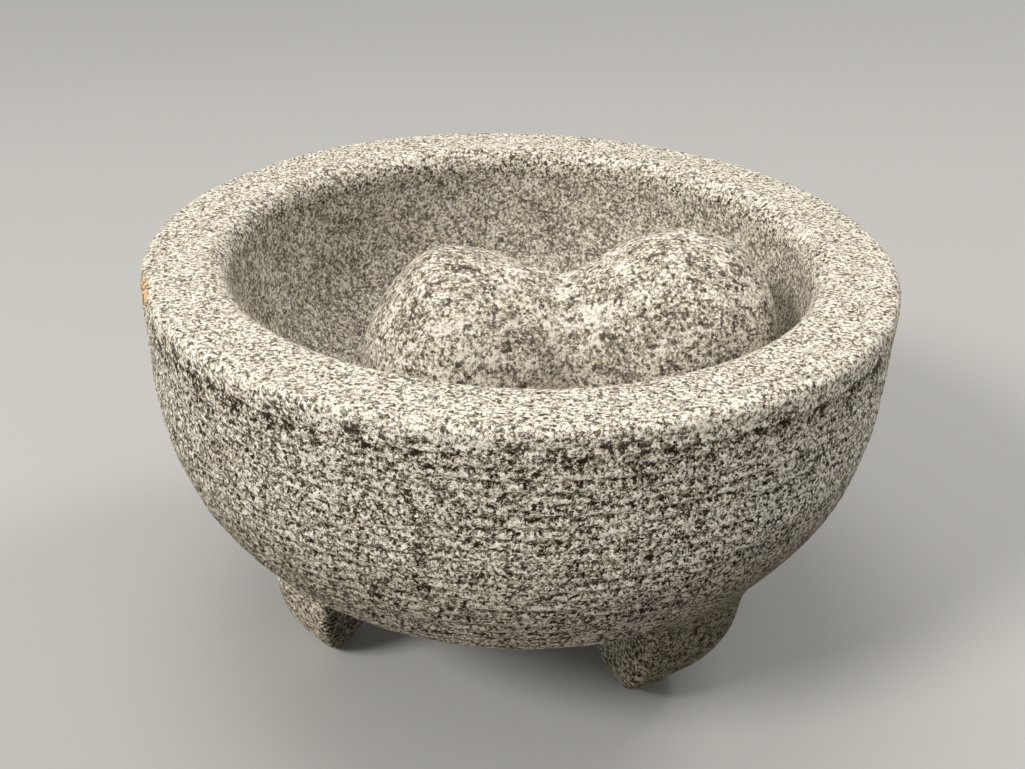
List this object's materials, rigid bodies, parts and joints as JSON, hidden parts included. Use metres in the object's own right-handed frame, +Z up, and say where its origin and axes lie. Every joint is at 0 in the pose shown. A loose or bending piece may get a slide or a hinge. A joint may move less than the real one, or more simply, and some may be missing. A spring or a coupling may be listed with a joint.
{
  "type": "molcajete",
  "caption": "Thick-walled granite grinding bowl on carved stub feet, with a loose dumbbell-shaped hand stone lying in its hollow.",
  "frame": {"origin": "on the table plane, on the bowl's axis, under the middle of the bowl", "axes": "+Z up along the bowl's axis; +X towards the raised end of the tejolote; -Y towards the side between the front feet"},
  "size_m": [0.2032, 0.2032, 0.1253],
  "materials": {
    "mortar_granite": "salt-and-pepper granite, turned and left rough",
    "tejolote_granite": "salt-and-pepper granite, dressed smooth by hand"
  },
  "bodies": {
    "mortar": {"mortar": "mortar_granite"},
    "tejolote": {"tejolote": "tejolote_granite"}
  },
  "joints": [
    {"name": "tejolote_lift", "type": "slide", "parent": "mortar", "child": "tejolote", "axis": [0, 0, 1], "range_m": [0, 0.075]}
  ]
}
